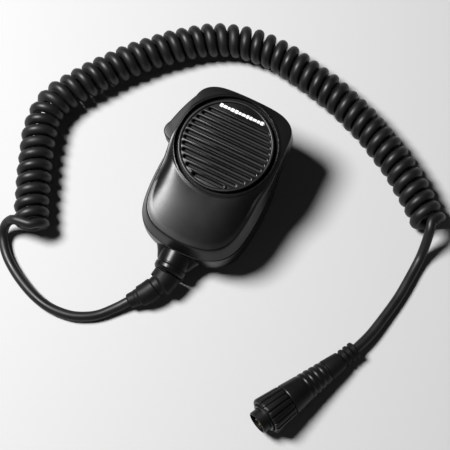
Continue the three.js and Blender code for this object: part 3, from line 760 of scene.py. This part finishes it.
def grille():
    low = SEAT_HEIGHT + GAP
    high = low + 1.9
    outlines = [circle(GRILLE_RADIUS - 0.6, 160)]
    outlines += [slot_outline(FIRST_SLOT_Y - i * SLOT_PITCH) for i in range(SLOT_COUNT)]
    plate = flat_curve("grille_plate", outlines, low, high, 0.65, MIC, GRILLE_DOME)
    rim = revolve(rounded([
        (GRILLE_RADIUS - 1.6, low + 0.4), (GRILLE_RADIUS, low + 0.4),
        (GRILLE_RADIUS, high + 0.5), (GRILLE_RADIUS - 1.3, high + 0.5),
        (GRILLE_RADIUS - 1.6, high - 0.2), (GRILLE_RADIUS - 1.6, low + 0.4)], 0.4), 160)
    bumps = [moved(revolve(rounded([(0, 0), (0.9, 0), (0.9, 0.5), (0, 0.75)], 0.4), 24),
                   Matrix.Translation((x, -19.5, high - 0.05))) for x in (-9.3, 9.3)]
    rim_piece = new_object("rim", joined(rim, *bumps), MIC)
    work = bmesh.new()
    work.from_mesh(plate.data)
    work.from_mesh(rim_piece.data)
    work.to_mesh(plate.data)
    work.free()
    bpy.data.objects.remove(rim_piece)
    plate.name = "grille_cover"
    return settle(plate, grille_plastic, "grille", "case", "grille_disc", degrees=40)


def badge():
    """Plain bright strip with a row of plain bars of uneven size, in place of lettering."""
    strip = block((-12.4, 17.3, 34.1), (12.4, 18.5, 34.2))
    bars = []
    middle_y = 17.9
    bar_gap = 0.55
    last_start = 10.6
    start = -12.1
    step = 0
    while start < last_start:
        width = 1.5 + 0.4 * math.sin(2.3 * step)
        height = 0.8 + 0.15 * math.cos(1.7 * step)
        bars.append(block((start, middle_y - height, 34.15),
                          (start + width, middle_y + height, 34.6)))
        start += width + bar_gap
        step += 1
    piece = new_object("badge_bar", joined(strip, *bars), MIC)
    bevel = piece.modifiers.new("soft edges", "BEVEL")
    bevel.width = 0.08 * MM
    bevel.segments = 2
    return settle(piece, badge_metal, "badge", "case", "badge_strip")


grille()
badge()


# ---- push-to-talk lever --------------------------------------------------------------------
def bezier(start, a, b, end, steps):
    points = []
    for i in range(steps):
        t = (i + 1) / steps
        u = 1 - t
        points.append(tuple(
            start[k] * u ** 3 + a[k] * 3 * t * u * u + b[k] * 3 * t * t * u + end[k] * t ** 3
            for k in (0, 1)))
    return points


def lever():
    outline = [(-25, -7.6), (-25, 16.4), (-22, 18.2)]
    for i in range(13):
        angle = -1 + 2.6 * i / 12
        outline.append((PIVOT[0] + 2.4 * math.cos(angle), PIVOT[1] + 2.4 * math.sin(angle)))
    outline.append((-26, 22.9))
    outline += bezier((-26, 22.9), (-28.8, 18.4), (-31.6, 10), (-33, 3), 16)
    outline += bezier((-33, 3), (-33.2, 1), (-34.6, 0), (-34.4, -2.6), 8)
    outline += bezier((-34.4, -2.6), (-34.2, -5), (-32.6, -6.4), (-29, -7.6), 10)
    piece = flat_curve("talk_lever", [outline], LEVER_LOW, LEVER_HIGH, 0.8, MIC)
    cut(piece, post(1.3, LEVER_LOW - 1, LEVER_HIGH + 1, *PIVOT), MIC)
    return settle(piece, lever_plastic, "lever", "lever", "ptt_lever")


lever()


def return_spring():
    """Compression spring between switch and lever, with flat ends.

    The squash flattens its wire too, and at full press it is shorter than its turns of round
    wire could be.
    """
    wire = 0.28
    coil_radius = 1.7
    turns = 5
    per_turn = 20
    flat_turns = 0.4
    lever_end = LEVER_INNER_X + GAP + wire
    switch_end = SWITCH_FACE_X - GAP - wire
    spring_y = -4
    spring_height = 20
    path = []
    for i in range(turns * per_turn + 1):
        turn = i / per_turn
        share = smooth_step(flat_turns, turns - flat_turns, turn)
        angle = 2 * math.pi * turn
        path.append(Vector((
            mix(lever_end, switch_end, share),
            spring_y + coil_radius * math.cos(angle),
            spring_height + coil_radius * math.sin(angle),
        )))
    piece = new_object("return_spring", sweep(path, [wire] * len(path), 12), MIC)
    settle(piece, plated_steel, "steel", "case", "ptt_spring", degrees=60)
    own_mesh(piece)


return_spring()


# ---- strain relief on the microphone -------------------------------------------------------
def boot():
    """Rubber sleeve in five bands that follows the cord out of the neck."""
    path = smooth_path([*NECK_MOUTH, *BOOT_ROUTE, *MIC_ROUTE[:2]], 12)
    lengths = along_path(path)
    profile = rounded([
        (0, 6.7), (0.6, 7.2), (5.4, 7), (6.3, 6.3), (6.5, 5.3), (9.2, 5.1), (9.5, 5.7),
        (13.6, 5.7), (17.9, 5.4), (18.3, 4.6), (20, 4.4), (20.3, 4.2), (24, 3.8),
        (BOOT_LENGTH, 3.3)], 0.35)
    places = [place_at(path, lengths, distance)[0] for distance, _ in profile]
    keep = [k for k in range(len(places)) if k == 0 or (places[k] - places[k - 1]).length > 0.02]
    shape = sweep([places[k] for k in keep], [profile[k][1] for k in keep], 48)
    piece = new_object("mic_strain_relief", shape, TO_METRES)
    return settle(piece, boot_rubber, "boot", "case", "mic_boot", degrees=50)


boot()

# ---- plug ----------------------------------------------------------------------------------
SLEEVE_RADIUS = 3.6  # at the cord end
SLEEVE_END = 19.0  # where the rubber sleeve meets the plastic housing
COLLAR_END = 44.0
RING_END = 57.9
NOSE_END = 63.0
RING_RADIUS = 9.9  # at the nose end
GRIP_PITCH = 3.3
GRIP_DEPTH = 0.4
BARREL_RADIUS = 5.9
BARREL_BORE = 5.0
SOCKET_RADIUS = BARREL_RADIUS + GAP
SOCKET_FLOOR = 34.0
THREAD_RADIUS = 7.8
THREAD_START = 52.0


def cone_radius(along):
    """The plug is one slim cone from its cord end to the front of its ring."""
    return SLEEVE_RADIUS + along * (RING_RADIUS - SLEEVE_RADIUS) / RING_END


def plug_boot():
    """Rubber sleeve with three ribs at its cord end."""
    points = [(0, 0.4), (3.4, 0.4)]
    rib_radius = 4.6
    for i in range(3):
        start = 0.8 + i * 3
        points += [(rib_radius, start), (rib_radius, start + 1.2)]
        points += [(rib_radius - 0.8, start + 1.5), (rib_radius - 0.8, start + 2.7)]
    points += [(cone_radius(10), 10), (cone_radius(SLEEVE_END), SLEEVE_END), (0, SLEEVE_END)]
    piece = new_object("plug_sleeve", revolve(rounded(points, 0.35), 64), PLUG)
    return settle(piece, boot_rubber, "boot", "case", "plug_boot")


def plug_shell():
    """Housing with four grip rings and a collar, open towards the ring."""
    low = SLEEVE_END + GAP
    points = [(0, low), (cone_radius(low) - 0.1, low)]
    for i in range(4):
        start = low + 1.1 + i * GRIP_PITCH
        points += [(cone_radius(start) - GRIP_DEPTH, start), (cone_radius(start + 0.5), start + 0.5)]
        points += [(cone_radius(start + 1.9), start + 1.9),
                   (cone_radius(start + 2.5) - GRIP_DEPTH, start + 2.5)]
    collar_edge = COLLAR_END - 0.7
    points += [(cone_radius(34.2) - 0.1, 34.2), (cone_radius(collar_edge), collar_edge)]
    points += [(cone_radius(COLLAR_END) - 0.4, COLLAR_END), (SOCKET_RADIUS, COLLAR_END)]
    points += [(SOCKET_RADIUS, SOCKET_FLOOR), (3, SOCKET_FLOOR)]
    points += [(3, SOCKET_FLOOR - 4), (0, SOCKET_FLOOR - 4)]
    piece = new_object("plug_housing", revolve(rounded(points, 0.35), 96), PLUG)
    return settle(piece, plug_plastic, "plug_body", "case", "plug_shell")


def coupling_ring():
    """Screw-on ring with 18 finger flutes, wider at the front and rounded at both ends."""
    flutes = 18
    count = flutes * 12
    low = COLLAR_END + GAP
    high = RING_END

    def fluted(height, shrink, depth=0.7):
        section = []
        for i in range(count):
            angle = 2 * math.pi * i / count
            dip = min(1.0, max(0.0, math.cos(flutes * angle) - 0.45) / 0.34)
            reach = cone_radius(height) - shrink - depth * dip
            section.append(Vector((reach * math.cos(angle), reach * math.sin(angle), height)))
        return section

    def plain(height, radius):
        return [Vector((x, y, height)) for x, y in circle(radius, count)]

    sections = [
        fluted(low, 0.9, 0), fluted(low + 0.15, 0.35), fluted(low + 0.6, 0.05),
        fluted(low + 1.2, 0), fluted(high - 1.6, 0), fluted(high - 0.8, 0.15),
        fluted(high - 0.25, 0.5), fluted(high, 1.0, 0), plain(high, THREAD_RADIUS),
        plain(THREAD_START, THREAD_RADIUS), plain(THREAD_START, BARREL_RADIUS + 0.4),
        plain(low, BARREL_RADIUS + 0.4),
    ]
    piece = new_object("plug_screw_ring", loft(sections, closed=True), PLUG)
    return settle(piece, plug_plastic, "plug_body", "ring", "plug_coupling_ring")


def plug_barrel():
    """Open nose tube with a keyway, round the contact pins."""
    low = SOCKET_FLOOR + GAP
    profile = [(BARREL_BORE, low), (BARREL_RADIUS, low), (BARREL_RADIUS, NOSE_END - 0.5),
               (BARREL_RADIUS - 0.4, NOSE_END), (BARREL_BORE, NOSE_END), (BARREL_BORE, low)]
    piece = new_object("plug_nose_barrel", revolve([Vector(p) for p in profile], 96), PLUG)
    keyway = block((-0.8, BARREL_BORE - 1, NOSE_END - 3.5), (0.8, BARREL_RADIUS - 0.4, NOSE_END + 1))
    cut(piece, keyway, PLUG)
    return settle(piece, plug_plastic, "plug_body", "case", "plug_barrel")


plug_pieces = [plug_boot(), plug_shell(), coupling_ring(), plug_barrel()]


# ---- stud and screws -----------------------------------------------------------------------
def stud():
    """Mushroom stud that the microphone hangs by."""
    profile = rounded([
        (1.5, -4.3), (1.5, -GAP), (3.8, -GAP), (3.8, -3.1), (6, -3.3), (6, -STUD_HEIGHT + 0.5),
        (5.5, -STUD_HEIGHT), (3.6, -STUD_HEIGHT), (3.1, -4.4), (1.5, -4.3)], 0.2)
    piece = new_object("hanging_stud", revolve(profile[:-1] + [profile[0]], 64),
                       MIC @ Matrix.Translation((0, STUD_Y, 0)))
    return settle(piece, plated_steel, "steel", "case", "hanger_stud")


stud()


def cross_screw(node, x, y, head_radius, face, seat, shank_radius, shank_end):
    """Domed cross-head screw: its head lies between face and seat, then comes the thread."""
    head = abs(seat - face)
    length = abs(shank_end - face)
    points = [(0, 0), (head_radius * 0.55, 0.06), (head_radius * 0.9, head * 0.3),
              (head_radius, head * 0.6), (head_radius, head), (shank_radius, head)]
    pitch = 0.8
    along = head + pitch
    while along < length - 1:
        points += [(shank_radius - 0.2, along), (shank_radius, along + pitch / 2)]
        along += pitch
    points += [(shank_radius * 0.8, length - 0.6), (0, length)]
    place = MIC @ Matrix.Translation((x, y, face))
    if shank_end < face:
        place = place @ Matrix.Rotation(math.pi, 4, "X")
    piece = new_object(f"cross_{node}", revolve([Vector(p) for p in points], 40), place)
    long_side = head_radius * 0.55
    short_side = head_radius * 0.14
    depth = head * 0.6
    cut(piece, block((-long_side, -short_side, -1), (long_side, short_side, depth)), place)
    cut(piece, block((-short_side, -long_side, -1), (short_side, long_side, depth)), place)
    return settle(piece, plated_steel, "steel", "case", node)


for index, (x, y) in enumerate(SHELL_SCREWS, 1):
    cross_screw(f"shell_screw_{index}", x, y, head_radius=2.6, face=3.3, seat=5.3,
                shank_radius=1.25, shank_end=26)
for index, (x, y) in enumerate(BOARD_SCREWS, 1):
    cross_screw(f"board_screw_{index}", x, y, head_radius=2.2, face=18.7, seat=17.3,
                shank_radius=0.9, shank_end=7)
for index, (x, y) in enumerate(CLAMP_SCREWS, 1):
    cross_screw(f"clamp_screw_{index}", x, y, head_radius=2.0, face=16.2, seat=14.9,
                shank_radius=0.8, shank_end=5)
cross_screw("stud_screw", 0, STUD_Y, head_radius=2.8, face=5.7, seat=3.7,
            shank_radius=1.2, shank_end=-4)


# ---- carried-over CAD nodes ----------------------------------------------------------------
CARRIED = {
    "shell_gasket": boot_rubber,
    "grille_cloth": acoustic_cloth,
    "mic_cartridge": plated_steel,
    "cartridge_ring": boot_rubber,
    "circuit_board": board_laminate,
    "wire_connector": natural_nylon,
    "ptt_switch": dark_moulding,
    "switch_plunger": gold_brass,
    "ptt_pivot_pin": plated_steel,
    "cord_clamp": natural_nylon,
    "cord_tail": cord_jacket,
    "plug_insert": dark_moulding,
    "plug_ring_retainer": black_steel,
}
CARRIED.update({f"plug_pin_{i}": gold_brass for i in range(1, 9)})


def refinish(name, material):
    """A CAD node keeps its shape, and gets soft edges and its own finish."""
    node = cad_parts[name]
    node.data.materials.clear()
    node.data.materials.append(material)
    bevel = node.modifiers.new("soft edges", "BEVEL")
    bevel.width = 0.12 * MM
    bevel.segments = 2
    bevel.limit_method = "ANGLE"
    bevel.angle_limit = math.radians(50)


for node_name, finish in CARRIED.items():
    refinish(node_name, finish)


# ---- floor and light -----------------------------------------------------------------------
FLOOR_SIZE = 3.0


def make_floor():
    bpy.ops.mesh.primitive_plane_add(size=FLOOR_SIZE, location=(0, 0, 0))
    floor = bpy.context.object
    floor.name = "floor"
    material = bpy.data.materials.new("floor")
    material.use_nodes = True
    shader = material.node_tree.nodes["Principled BSDF"]
    shader.inputs["Base Color"].default_value = (0.34, 0.34, 0.34, 1)
    shader.inputs["Roughness"].default_value = 0.9
    floor.data.materials.append(material)


def area_light(name, place, aim, size, watts):
    light = bpy.data.objects.new(name, bpy.data.lights.new(name, "AREA"))
    light.data.shape = "DISK"
    light.data.size = size
    light.data.energy = watts
    light.location = place
    direction = Vector(aim) - Vector(place)
    light.rotation_euler = direction.to_track_quat("-Z", "Y").to_euler()
    bpy.context.scene.collection.objects.link(light)


def make_sky():
    """A studio surround that is bright near the floor and darker overhead."""
    world = bpy.data.worlds.new("studio")
    world.use_nodes = True
    nodes = world.node_tree.nodes
    links = world.node_tree.links
    place = nodes.new("ShaderNodeTexCoord")
    split = nodes.new("ShaderNodeSeparateXYZ")
    ramp = nodes.new("ShaderNodeValToRGB")
    ramp.color_ramp.elements[0].position = 0.08
    ramp.color_ramp.elements[0].color = (1, 1, 1, 1)
    ramp.color_ramp.elements[1].position = 0.55
    ramp.color_ramp.elements[1].color = (0.03, 0.03, 0.031, 1)
    links.new(place.outputs["Generated"], split.inputs["Vector"])
    links.new(split.outputs["Z"], ramp.inputs["Fac"])
    links.new(ramp.outputs["Color"], nodes["Background"].inputs["Color"])
    nodes["Background"].inputs["Strength"].default_value = 0.3
    bpy.context.scene.world = world


def make_light():
    area_light("key", (-0.58, -0.12, 0.93), (0, 0, 0.03), 0.36, 34)


make_floor()
make_sky()
make_light()
bpy.context.scene.view_settings.view_transform = "Standard"
